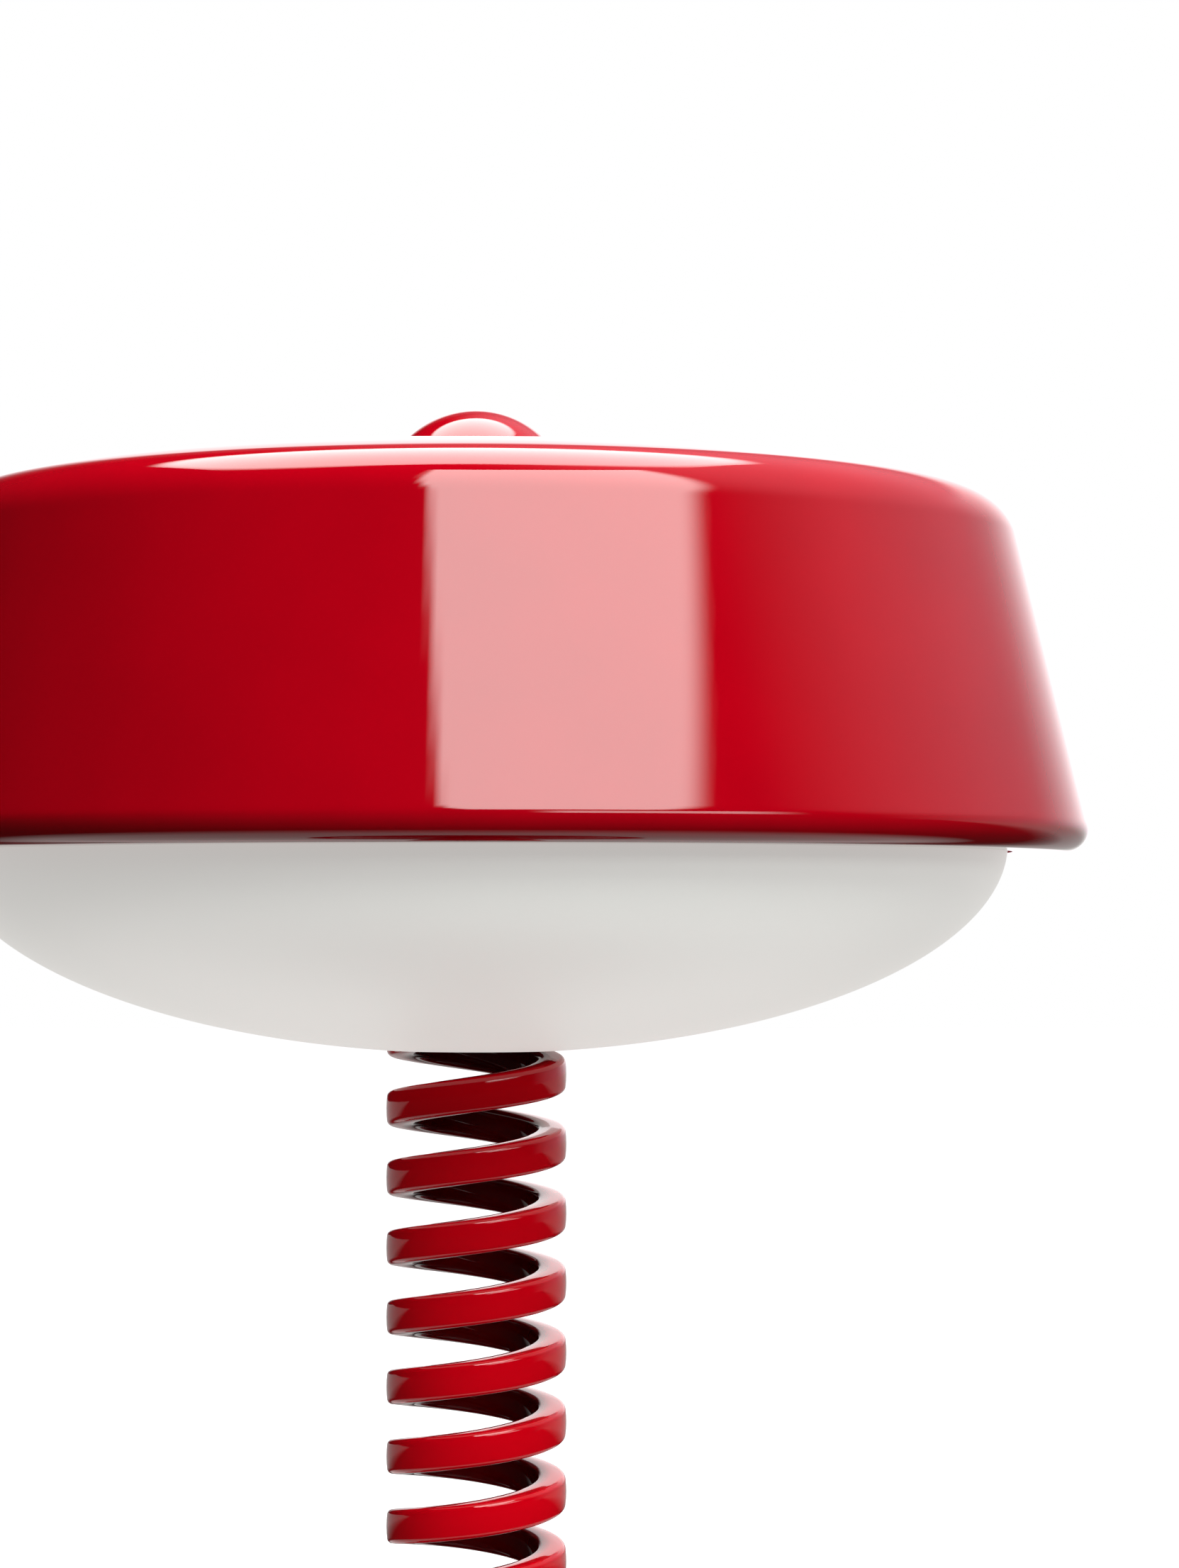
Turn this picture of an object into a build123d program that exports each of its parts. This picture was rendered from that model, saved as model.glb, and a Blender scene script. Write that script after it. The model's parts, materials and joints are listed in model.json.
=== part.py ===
from build123d import *
import os
from math import acos, asin, cos, degrees, radians, sin, tan

# A cordless table lamp: a weighted round base, a stem that is one heavy coil
# spring of flat wire, and a round head with a glossy shade over an opal
# diffuser. The battery, driver and dimmer are in the head, so nothing runs
# through the spring. Millimetres, +Z up, origin on the table under the stem.
# The front of the lamp faces -Y, and the charging port is at the back.

# --- driving dimensions -----------------------------------------------------
base_top = 30.0
base_radius = 75.0
pad_height = 2.0
stem_visible = 174.0  # spring showing between base and diffuser

spring_radius = 16.0  # outside of the coils
wire_width = 5.4  # wire, across the coil
wire_height = 6.3  # wire, along the coil
wire_corner = 1.0
spring_pitch = 12.37
front_band_drop = 19.5  # nearest coil at the front, centre of wire, below the diffuser

shade_radius = 108.2  # widest, at the rolled lip
shade_above_diffuser = 35.3  # from the diffuser's lowest edge to the shade's underside
shade_height = 63.2  # underside to the top of the shoulder's circle
wall_tilt = 13.7  # lean of the walls from upright, in degrees
lip_radius = 4.2
shoulder_radius = 10.5
brow_tilt = 15.0  # slope where the shoulder gives way to the wider brow
brow_radius = 108.0
crown_tilt = 1.7  # slope where the brow gives way to the shallow crown
shade_sheet = 1.5
weld_depth = 0.15  # overlap of the standoffs with the shade

diffuser_radius = 94.0
diffuser_depth = 37.1
diffuser_wall = 2.5
diffuser_skirt = 10.0
diffuser_gap = 0.8  # round the diffuser, in the shade's mouth

knob_dome_radius = 17.5
knob_rise = 11.1  # top of the knob above the top of the shade
knob_gap = 1.4
press_travel = 1.0

base_sheet = 2.0
base_underside = pad_height + 0.2
base_rise = 0.87  # of the base's brow and crown above its shoulder's circle
weight_radius = 67.0
flange_radius = 34.0  # of the spring's lower socket
grip_radius = 2.5  # of the set screws that hold the spring

cell_radius = 9.2
cell_length = 65.0
cell_x = 64.0

board_sheet = 1.6
board_half = 18.0  # half the driver board's width
board_front = 31.0
board_back = 98.0

led_count = 24
led_ring_radius = 52.0
lead_radius = 0.9
lead_hole = (4.0, -42.0)

port_width = 9.2
port_thickness = 3.4
port_board_y = 93.4
port_depth = 7.4

shaft_radius = 3.0
bush_radius = 3.5
dimmer_hole = 3.7
knob_screw_radius = 1.25

# --- heights and radii that follow ------------------------------------------
diffuser_bottom = base_top + stem_visible
shade_bottom = diffuser_bottom + shade_above_diffuser
diffuser_middle = shade_bottom + 1.5
hole_radius = spring_radius + 0.6  # the spring's hole in the diffuser and in the base
socket_bore = spring_radius + 0.1
coil_radius = spring_radius - wire_width / 2
mouth_radius = diffuser_radius + diffuser_gap

spring_bottom = 9.5
spring_top = diffuser_bottom + 22.5
upper_grip_height = diffuser_bottom + 12.0
lower_grip_height = 18.0

chassis_bottom = shade_bottom + 23.0
chassis_sheet = 2.0
chassis_top = chassis_bottom + chassis_sheet
chassis_radius = 92.0


# --- helpers ----------------------------------------------------------------
def post(radius, bottom, top, x=0.0, y=0.0):
    """Upright cylinder between two heights."""
    return Pos(x, y, bottom) * extrude(Circle(radius), top - bottom)


def tube(outer, inner, bottom, top, x=0.0, y=0.0):
    """Upright ring between two heights."""
    return post(outer, bottom, top, x, y) - post(inner, bottom - 1, top + 1, x, y)


def block(width, depth, bottom, top, x=0.0, y=0.0):
    """Upright box between two heights, centred on x and y."""
    return Pos(x, y, bottom) * extrude(Rectangle(width, depth), top - bottom)


def turned(*outline):
    """Solid of revolution about the lamp's axis from (radius, height) corners."""
    return revolve(Plane.XZ * make_face(Polyline(*outline, close=True)), Axis.Z)


def around(count, radius, start=0.0):
    """(x, y, angle) of places evenly spaced on a circle."""
    places = []
    for i in range(count):
        angle = start + 360.0 * i / count
        places.append((radius * cos(radians(angle)), radius * sin(radians(angle)), angle))
    return places


def group(solids):
    """Separate solids of one kind as one node."""
    return Compound(children=list(solids))


def pan_screw(x, y, seat, shank_down, thread_radius=1.95):
    """Pan-head screw whose head sits on seat, with a cross recess, pointing down."""
    head = post(thread_radius * 1.9, seat, seat + 2.2, x, y)
    head = fillet(head.edges().group_by(Axis.Z)[-1], 0.8)
    recess = block(3.2, 0.7, seat + 1.0, seat + 3, x, y)
    recess += block(0.7, 3.2, seat + 1.0, seat + 3, x, y)
    return head + post(thread_radius, seat - shank_down, seat, x, y) - recess


def grub_screw(radius, length):
    """Set screw along +X from the origin, with a hexagonal socket in its far end."""
    screw = Plane.YZ * extrude(Circle(radius), length)
    key = Plane.YZ * extrude(RegularPolygon(radius * 0.55, 6), length)
    return screw - Pos(length * 0.45, 0, 0) * key


def wire(points, radii):
    """Insulated lead along straight runs joined by arcs."""
    path = FilletPolyline(*points, radius=radii)
    return sweep(Plane(path @ 0, z_dir=path % 0) * Circle(lead_radius), path=path)


def coil_height(angle, near):
    """Height of the wire's centre at an angle, on the turn closest to near."""
    at_front = diffuser_bottom - front_band_drop
    height = at_front + spring_pitch * (angle + 90.0) / 360.0
    return height + spring_pitch * round((near - height) / spring_pitch)


# --- sheet-metal shells -----------------------------------------------------
def spun_curve(inset, bottom, height, widest, lip, shoulder, brow, crown, mouth, hole):
    """Half section of a spun shell, from its mouth up to the hole in its top."""
    lip_centre = (widest - lip, bottom + lip)
    wall = radians(wall_tilt)
    rise = height - lip - shoulder
    run = rise * tan(wall) + (shoulder - lip) / cos(wall)
    shoulder_centre = (lip_centre[0] - run, bottom + height - shoulder)
    lip_arc = CenterArc(lip_centre, lip - inset, -90, 90 + wall_tilt)
    shoulder_arc = CenterArc(shoulder_centre, shoulder - inset, wall_tilt, 90 - brow_tilt - wall_tilt)
    brow_x = shoulder_centre[0] - (brow - shoulder) * sin(radians(brow_tilt))
    brow_z = shoulder_centre[1] - (brow - shoulder) * cos(radians(brow_tilt))
    brow_arc = CenterArc((brow_x, brow_z), brow - inset, 90 - brow_tilt, brow_tilt - crown)
    crown_radius = brow + brow_x / sin(radians(crown))
    crown_z = brow_z - (crown_radius - brow) * cos(radians(crown))
    turn_in = degrees(asin(hole / (crown_radius - inset)))
    crown_arc = CenterArc((0, crown_z), crown_radius - inset, 90 - crown, crown - turn_in)
    flange = Line((mouth, bottom + inset), lip_arc @ 0)
    wall_line = Line(lip_arc @ 1, shoulder_arc @ 0)
    return [flange, lip_arc, wall_line, shoulder_arc, brow_arc, crown_arc]


def spun_shell(sheet, **sizes):
    """Sheet-metal shell with a rolled lip, a leaning wall, a round shoulder, a brow and a crown."""
    outer = spun_curve(0, **sizes)
    inner = spun_curve(sheet, **sizes)
    ends = [Line(outer[0] @ 0, inner[0] @ 0), Line(outer[-1] @ 1, inner[-1] @ 1)]
    return revolve(Plane.XZ * make_face(outer + inner + ends), Axis.Z)


shade_sizes = dict(
    bottom=shade_bottom, height=shade_height, widest=shade_radius, lip=lip_radius,
    shoulder=shoulder_radius, brow=brow_radius, crown=crown_tilt, mouth=mouth_radius,
    hole=dimmer_hole,
)
base_sizes = dict(
    bottom=base_underside, height=base_top - base_underside - base_rise, widest=base_radius, lip=3.0,
    shoulder=9.0, brow=30.0, crown=0.3, mouth=68.0, hole=hole_radius,
)
shade_crown = (spun_curve(0, **shade_sizes)[-1] @ 1).Y
crown_inside = (spun_curve(shade_sheet, **shade_sizes)[-1] @ 1).Y


# --- charging port ----------------------------------------------------------
port_height = chassis_top + 7.2


def port_outline(grow):
    """Rounded slot round the charging port, as a prism along +Y through the wall."""
    slot = SlotOverall(port_width + 2 * grow, port_thickness + 2 * grow)
    return Pos(0, port_board_y, port_height) * (Plane.XZ * extrude(slot, -25))


def shade_shell():
    shell = spun_shell(shade_sheet, **shade_sizes)
    return shell - port_outline(1.6)


def port_bezel():
    """Moulded ring that lines the port's slot, flush with the wall."""
    shell = spun_shell(shade_sheet, **shade_sizes)
    return shell & (port_outline(1.5) - port_outline(0.3))


def usb_socket():
    """Charging socket: a rounded metal shell, open at the back of the lamp, with a tongue."""
    slot = Plane.XZ * extrude(SlotOverall(port_width - 0.3, port_thickness - 0.3), -port_depth)
    inside = Plane.XZ * extrude(SlotOverall(port_width - 0.9, port_thickness - 0.9), -port_depth)
    tongue = Pos(0, port_depth / 2 + 0.5, 0) * Box(6.4, port_depth - 1.4, 0.7)
    body = slot - Pos(0, 1.2, 0) * inside + tongue
    return Pos(0, port_board_y, port_height) * body


# --- diffuser and light engine ----------------------------------------------
def diffuser():
    """Opal bowl: half a flattened ellipsoid under a short upright skirt, with the stem's hole."""
    top = diffuser_middle + diffuser_skirt
    inner_radius = diffuser_radius - diffuser_wall
    inner_depth = diffuser_depth - diffuser_wall
    sweep_out = degrees(acos(hole_radius / diffuser_radius))
    sweep_in = degrees(acos(hole_radius / inner_radius))
    middle = (0, diffuser_middle)
    outer = EllipticalCenterArc(middle, diffuser_radius, diffuser_depth, -sweep_out, arc_size=sweep_out)
    inner = EllipticalCenterArc(middle, inner_radius, inner_depth, -sweep_in, arc_size=sweep_in)
    edges = [outer, inner]
    edges.append(Line(outer @ 0, inner @ 0))
    edges.append(Polyline(outer @ 1, (diffuser_radius, top), (inner_radius, top), inner @ 1))
    bowl = revolve(Plane.XZ * make_face(edges), Axis.Z)
    groove = tube(diffuser_radius + 1, diffuser_radius - 0.7, top - 4.5, top - 2.5)
    return bowl - groove


def diffuser_clips():
    """Three sprung clips under the chassis that snap into the diffuser's groove."""
    top = diffuser_middle + diffuser_skirt
    leaf = diffuser_radius + 0.9
    outline = [
        (chassis_radius - 12, chassis_bottom), (leaf + 0.6, chassis_bottom),
        (leaf + 0.6, top - 6), (leaf, top - 6), (leaf, top - 4.2),
        (diffuser_radius - 0.4, top - 3.8), (diffuser_radius - 0.4, top - 3.2),
        (leaf, top - 2.8), (leaf, chassis_bottom - 0.8), (chassis_radius - 12, chassis_bottom - 0.8),
    ]
    section = Plane.XZ * make_face(Polyline(*outline, close=True))
    clip = Pos(0, 6, 0) * extrude(section, 12)
    return group([Rot(0, 0, angle) * clip for _, _, angle in around(3, 1, 30)])


def led_board():
    ring = tube(66, 36, chassis_bottom - board_sheet, chassis_bottom)
    for x, y, _ in light_screw_places:
        ring -= post(1.6, chassis_bottom - 3, chassis_bottom + 1, x, y)
    return ring


def leds():
    """Flat light-emitting packages on the board's underside."""
    face = chassis_bottom - board_sheet
    chips = []
    for x, y, angle in around(led_count, led_ring_radius):
        package = Box(3.0, 2.8, 0.7, align=(Align.CENTER, Align.CENTER, Align.MAX))
        chips.append(Pos(x, y, face) * Rot(0, 0, angle) * package)
    return group(chips)


def reflector():
    """White cone that throws the light down into the diffuser."""
    top = chassis_bottom - 1.2
    low = diffuser_middle + diffuser_skirt - 3
    return turned((68, top), (69.2, top), (89.6, low + 1), (89.6, low), (88.6, low), (68, top - 1.2))


# --- chassis ----------------------------------------------------------------
standoff_places = around(4, 76, 45)
socket_screw_places = around(6, 26, 0)
clip_rivet_places = around(3, 84, 30)
light_screw_places = around(3, 61, 90)


def chassis_plate():
    """Aluminium disc that carries everything in the head, and cools the light board."""
    plate = post(chassis_radius, chassis_bottom, chassis_top)
    plate -= post(9.5, chassis_bottom - 1, chassis_top + 1)
    for x, y, _ in standoff_places + socket_screw_places + clip_rivet_places:
        plate -= post(2.1, chassis_bottom - 1, chassis_top + 1, x, y)
    for x, y, _ in light_screw_places:
        plate -= post(1.5, chassis_bottom - 1, chassis_top + 1, x, y)
    plate -= post(3, chassis_bottom - 1, chassis_top + 1, *lead_hole)
    return plate


def chassis_standoffs():
    """Pillars welded to the inside of the shade, with blind tapped holes."""
    curve = spun_curve(shade_sheet - weld_depth, **shade_sizes)
    top, mouth = curve[-1] @ 1, curve[0] @ 0
    closing = Polyline(top, (0, top.Y), (0, mouth.Y), mouth)
    room = revolve(Plane.XZ * make_face(curve + [closing]), Axis.Z)
    pillars = []
    for x, y, _ in standoff_places:
        pillar = post(4, chassis_top, top.Y, x, y) & room
        pillars.append(pillar - post(2, chassis_top - 1, chassis_top + 9, x, y))
    return group(pillars)


def chassis_screws():
    """Screws up through the chassis into the standoffs."""
    screws = []
    for x, y, _ in standoff_places:
        screws.append(Pos(x, y, chassis_bottom) * Rot(180, 0, 0) * pan_screw(0, 0, 0, 9))
    return group(screws)


def clip_rivets():
    rivets = []
    for x, y, _ in clip_rivet_places:
        head = post(3, chassis_top, chassis_top + 1, x, y)
        rivets.append(head + post(2, chassis_bottom, chassis_top, x, y))
    return group(rivets)


def light_screws():
    """Small screws that press the light board against the chassis."""
    screws = []
    for x, y, _ in light_screw_places:
        screw = pan_screw(0, 0, 0, 3.4, 1.4)
        screws.append(Pos(x, y, chassis_bottom - board_sheet) * Rot(180, 0, 0) * screw)
    return group(screws)


def upper_socket():
    """Flanged steel tube that holds the spring's upper end under the chassis."""
    low = diffuser_bottom + 3.2
    socket = post(33, chassis_bottom - 4, chassis_bottom) + post(20, low, chassis_bottom)
    socket -= post(socket_bore, low - 1, spring_top + 0.3)
    socket -= post(9, spring_top, chassis_bottom + 1)
    for x, y, _ in socket_screw_places:
        socket -= post(2, chassis_bottom - 5, chassis_bottom + 1, x, y)
    return socket - set_screw_holes(upper_grip_height)


def upper_socket_screws():
    screws = [pan_screw(x, y, chassis_top, 5.5) for x, y, _ in socket_screw_places]
    return group(screws)


def set_screw_holes(near):
    """Three radial holes that each meet the middle of a coil."""
    holes = Part()
    for _, _, angle in around(3, 1, 30):
        drill = Plane.YZ * extrude(Circle(grip_radius), 25)
        holes += Pos(0, 0, coil_height(angle, near)) * Rot(0, 0, angle) * drill
    return holes


def set_screws(near):
    """Three screws that press on the coil."""
    tip = socket_bore + 0.05
    screws = []
    for _, _, angle in around(3, 1, 30):
        screw = Pos(tip, 0, 0) * grub_screw(grip_radius - 0.04, 3.8)
        screws.append(Pos(0, 0, coil_height(angle, near)) * Rot(0, 0, angle) * screw)
    return group(screws)


# --- battery and driver -----------------------------------------------------
cell_height = chassis_top + 12.2


def battery_cell(side):
    """One cylindrical cell lying front to back, with its raised positive end."""
    body = Plane.XZ * extrude(Circle(cell_radius), cell_length / 2 - 1, both=True)
    body = fillet(body.edges(), 0.6)
    cap = Pos(0, -cell_length / 2 + 2, 0) * (Plane.XZ * extrude(Circle(3), 2.0))
    return Pos(side * cell_x, 0, cell_height) * (body + cap)


def battery_cradle(side):
    """Open plastic tray under one cell, with walls at its ends."""
    room = cell_length + 3
    tray = block(22, room + 6, chassis_top, cell_height + 2)
    hollow = Plane.XZ * extrude(Circle(cell_radius + 0.3), room / 2, both=True)
    tray -= Pos(0, 0, cell_height) * hollow
    tray -= block(2 * cell_radius + 0.6, room, cell_height, cell_height + 3)
    tray -= block(10, room, chassis_top - 1, chassis_top + 4)
    return Pos(side * cell_x, 0, 0) * tray


def battery_contacts():
    """Plated tabs between the cells' ends and the trays' end walls."""
    tabs = []
    for side in (-1, 1):
        for end in (-1, 1):
            y = end * (cell_length / 2 + 1.0)
            tabs.append(block(8, 0.5, cell_height - 5, cell_height + 4, side * cell_x, y))
    return group(tabs)


board_bottom = chassis_top + 4.0
board_top = board_bottom + board_sheet
spacer_x = board_half - 4
spacer_places = [(x, y) for x in (-spacer_x, spacer_x) for y in (board_front + 4, 83.0)]


def driver_board():
    length = board_back - board_front
    board = block(2 * board_half, length, board_bottom, board_top, 0, board_front + length / 2)
    for x, y in spacer_places:
        board -= post(1.6, board_bottom - 1, board_top + 1, x, y)
    return board


def driver_spacers():
    return group([tube(3.2, 1.6, chassis_top, board_bottom, x, y) for x, y in spacer_places])


def driver_screws():
    return group([pan_screw(x, y, board_top, 5.2, 1.5) for x, y in spacer_places])


def driver_chips():
    """Charger, controller and power switches as flat moulded packages."""
    sizes = [(7, 7, -8, 66), (5, 6, 5, 76), (5, 4, -6, 78), (6, 5, 9, 46)]
    return group([block(w, d, board_top, board_top + 1.3, x, y) for w, d, x, y in sizes])


def driver_coil():
    """Shielded inductor."""
    can = block(11, 11, board_top, board_top + 5.5, 6, 60)
    return fillet(can.edges().filter_by(Axis.Z), 2.5)


def driver_capacitors():
    cans = []
    for x in (-11, -2):
        can = post(3.8, board_top, board_top + 11, x, 50)
        cans.append(fillet(can.edges().group_by(Axis.Z)[-1], 0.8))
    return group(cans)


def lead_socket():
    """Plug-in connector for the leads, at the front of the board."""
    shell = block(16, 5, board_top, board_top + 6, 0, 39)
    return shell - block(14, 3, board_top + 2, board_top + 7, 0, 39)


def battery_lead(side):
    """Lead from one battery tray to the driver board."""
    height = chassis_top + 1.6
    start = side * (cell_x - 11.4)
    points = [
        (start, 20, height), (start - side * 12, 20, height), (side * 26, 34, height),
        (side * 26, 39, height + 7), (side * 10.5, 39, board_top + 3.5),
    ]
    return wire(points, [4, 4, 3])


def light_lead():
    """Lead from the driver board down through the chassis to the light board."""
    height = chassis_top + 1.6
    points = [
        (4, 36.2, board_top + 3.5), (4, 29, board_top + 3.5), (4, 29, height),
        (7, -6, height), (4, -42, height), (4, -42, chassis_bottom + 0.1),
    ]
    return wire(points, [2.5, 2.5, 40, 1.4])


# --- dimmer and knob --------------------------------------------------------
switch_top = crown_inside - 0.2
switch_floor = crown_inside - 9.0
chamber_floor = switch_floor + 1.5
chamber_top = switch_top - 1.5
bush_top = shade_crown + 3.3
knob_top = shade_crown + knob_rise
knob_bottom = shade_crown + knob_gap
shaft_top = knob_top - 2.0
pocket_top = bush_top + press_travel + 0.3
plunger_bottom = chamber_floor + press_travel + 1.0
plunger_top = plunger_bottom + 1.2
collar_bottom = plunger_top + 0.1
screw_height = pocket_top + 1.9


def dimmer_housing():
    """Body of the dimmer under the shade's top, with its threaded bush up through it."""
    body = block(14, 14, switch_floor, switch_top)
    body = fillet(body.edges().filter_by(Axis.Z), 1.0)
    body -= post(5.2, chamber_floor, chamber_top)
    body += post(bush_radius, switch_top, bush_top)
    return body - post(shaft_radius + 0.06, chamber_top - 1, bush_top + 1)


def dimmer_washer():
    return tube(6.0, bush_radius + 0.1, shade_crown + 0.05, shade_crown + 0.55)


def dimmer_nut():
    low = shade_crown + 0.55
    nut = Pos(0, 0, low) * extrude(RegularPolygon(5.77, 6), 1.6)
    return nut - post(bush_radius + 0.05, low - 1, low + 3)


def click_dome():
    """Domed metal disc that clicks when the plunger comes down on it."""
    low = chamber_floor + 0.05
    upper_face = [(4.2, low), (4.2, low + 0.2), (2.5, low + 0.8), (0, low + 0.9)]
    lower_face = [(0, low + 0.7), (2.3, low + 0.6), (3.4, low)]
    return turned(*upper_face, *lower_face)


def dimmer_plunger():
    return post(4.6, plunger_bottom, plunger_top)


def dimmer_shaft():
    """Shaft with a collar inside the dimmer and a flat at its upper end."""
    shaft = post(shaft_radius, collar_bottom, shaft_top) + post(4.5, collar_bottom, collar_bottom + 1.2)
    return shaft - block(8, 2, pocket_top, shaft_top + 1, 0, shaft_radius + 0.3)


def knob():
    """Domed knob with a pocket over the nut, a socket for the shaft and a screw hole."""
    centre = knob_top - knob_dome_radius
    dome = Pos(0, 0, centre) * Sphere(knob_dome_radius)
    dome &= post(2 * knob_dome_radius, knob_bottom, knob_top + 1)
    dome = fillet(dome.edges().group_by(Axis.Z)[0], 0.7)
    dome -= post(7.2, knob_bottom - 1, pocket_top)
    dome -= post(shaft_radius + 0.06, pocket_top - 1, shaft_top + 0.2)
    drill = Plane.XZ * extrude(Circle(knob_screw_radius + 0.1), -20)
    return dome - Pos(0, 0, screw_height) * drill


def knob_screw():
    return Pos(0, shaft_radius - 0.6, screw_height) * Rot(0, 0, 90) * grub_screw(knob_screw_radius, 4.0)


def dimmer_lead():
    """Lead from the dimmer down to the driver board."""
    points = [
        (0, 7.1, switch_floor + 3), (0, 16, switch_floor + 3), (-4, 30, switch_floor - 9),
        (-4, 31, board_top + 3.5), (-4, 36.2, board_top + 3.5),
    ]
    return wire(points, [5, 5, 2.2])


# --- stem -------------------------------------------------------------------
def stem_spring():
    """Right-hand coil spring of rounded flat wire, its ends ground flat."""
    first = coil_height(0, spring_bottom - spring_pitch / 2)
    turns = round((spring_top - first) / spring_pitch) + 1
    path = Edge.make_helix(spring_pitch, turns * spring_pitch, coil_radius, (0, 0, first))
    section = RectangleRounded(wire_width, wire_height, wire_corner)
    start = Plane(path @ 0, x_dir=(1, 0, 0), z_dir=path % 0)
    coil = sweep(start * section, path=path, is_frenet=True)
    return coil & post(spring_radius + 2, spring_bottom, spring_top)


# --- base -------------------------------------------------------------------
plate_top = pad_height + 3.0
weight_top = base_top - base_sheet - 0.4
flange_top = plate_top + 3.6
foot_screw_places = around(4, 55, 45)
hub_screw_places = around(4, 28, 0)


def base_shell():
    return spun_shell(base_sheet, **base_sizes)


def base_weight():
    """Cast disc that fills the base, bored for the spring's lower socket."""
    low = plate_top + 0.1
    bore = 21.2
    outside = [(weight_radius, low), (weight_radius, 20), (weight_radius - 8, weight_top)]
    weight = turned((bore, low), *outside, (bore, weight_top))
    weight -= post(flange_radius + 0.3, low - 1, flange_top + 0.1)
    for x, y, _ in foot_screw_places:
        weight -= post(2, low - 1, low + 11, x, y)
    for x, y, _ in hub_screw_places:
        weight -= post(2, low - 1, flange_top + 10, x, y)
    return weight


def lower_socket():
    """Flanged steel cup that holds the spring's lower end inside the weight."""
    low = plate_top + 0.1
    socket = post(flange_radius, low, flange_top) + post(21, low, weight_top - 0.2)
    socket -= post(socket_bore, spring_bottom - 0.3, weight_top + 1)
    for x, y, _ in hub_screw_places:
        socket -= post(2.1, low - 1, flange_top + 1, x, y)
        socket -= post(4.2, low - 1, low + 2.4, x, y)
    return socket - set_screw_holes(lower_grip_height)


def hub_screws():
    """Screws up through the socket's flange into the weight."""
    seat = plate_top + 2.5
    screw = Rot(180, 0, 0) * pan_screw(0, 0, 0, 8)
    return group([Pos(x, y, seat) * screw for x, y, _ in hub_screw_places])


def base_plate():
    plate = post(67.4, pad_height, plate_top)
    for x, y, _ in foot_screw_places:
        plate -= post(2.1, pad_height - 1, plate_top + 1, x, y)
        plate -= post(4.2, pad_height - 1, pad_height + 2, x, y)
    return plate


def base_screws():
    """Screws up through the plate into the weight, their heads sunk in the plate."""
    flat = post(3.9, 0, 1.4) + post(1.95, 1.4, 9)
    flat -= block(3.2, 0.7, -1, 0.9) + block(0.7, 3.2, -1, 0.9)
    return group([Pos(x, y, pad_height + 0.6) * flat for x, y, _ in foot_screw_places])


def base_pad():
    """Rubber ring under the plate, which the lamp stands on."""
    pad = tube(65, 42, 0, pad_height)
    return fillet(pad.edges().group_by(Axis.Z)[0], 0.6)


nodes = {
    "shade_shell": shade_shell(),
    "port_bezel": port_bezel(),
    "usb_socket": usb_socket(),
    "diffuser": diffuser(),
    "diffuser_clips": diffuser_clips(),
    "led_board": led_board(),
    "leds": leds(),
    "reflector": reflector(),
    "chassis_plate": chassis_plate(),
    "chassis_standoffs": chassis_standoffs(),
    "chassis_screws": chassis_screws(),
    "clip_rivets": clip_rivets(),
    "light_screws": light_screws(),
    "upper_socket": upper_socket(),
    "upper_socket_screws": upper_socket_screws(),
    "upper_set_screws": set_screws(upper_grip_height),
    "battery_cell_left": battery_cell(-1),
    "battery_cell_right": battery_cell(1),
    "battery_cradle_left": battery_cradle(-1),
    "battery_cradle_right": battery_cradle(1),
    "battery_contacts": battery_contacts(),
    "driver_board": driver_board(),
    "driver_spacers": driver_spacers(),
    "driver_screws": driver_screws(),
    "driver_chips": driver_chips(),
    "driver_coil": driver_coil(),
    "driver_capacitors": driver_capacitors(),
    "lead_socket": lead_socket(),
    "battery_lead_left": battery_lead(-1),
    "battery_lead_right": battery_lead(1),
    "light_lead": light_lead(),
    "dimmer_lead": dimmer_lead(),
    "dimmer_housing": dimmer_housing(),
    "dimmer_washer": dimmer_washer(),
    "dimmer_nut": dimmer_nut(),
    "click_dome": click_dome(),
    "dimmer_plunger": dimmer_plunger(),
    "dimmer_shaft": dimmer_shaft(),
    "knob": knob(),
    "knob_screw": knob_screw(),
    "stem_spring": stem_spring(),
    "base_shell": base_shell(),
    "base_weight": base_weight(),
    "lower_socket": lower_socket(),
    "lower_set_screws": set_screws(lower_grip_height),
    "hub_screws": hub_screws(),
    "base_plate": base_plate(),
    "base_screws": base_screws(),
    "base_pad": base_pad(),
}

os.makedirs("parts", exist_ok=True)
for name, shape in nodes.items():
    export_step(shape, f"parts/{name}.step")
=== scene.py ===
import json
from math import acos, asin, cos, degrees, pi, radians, sin, tan

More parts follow.
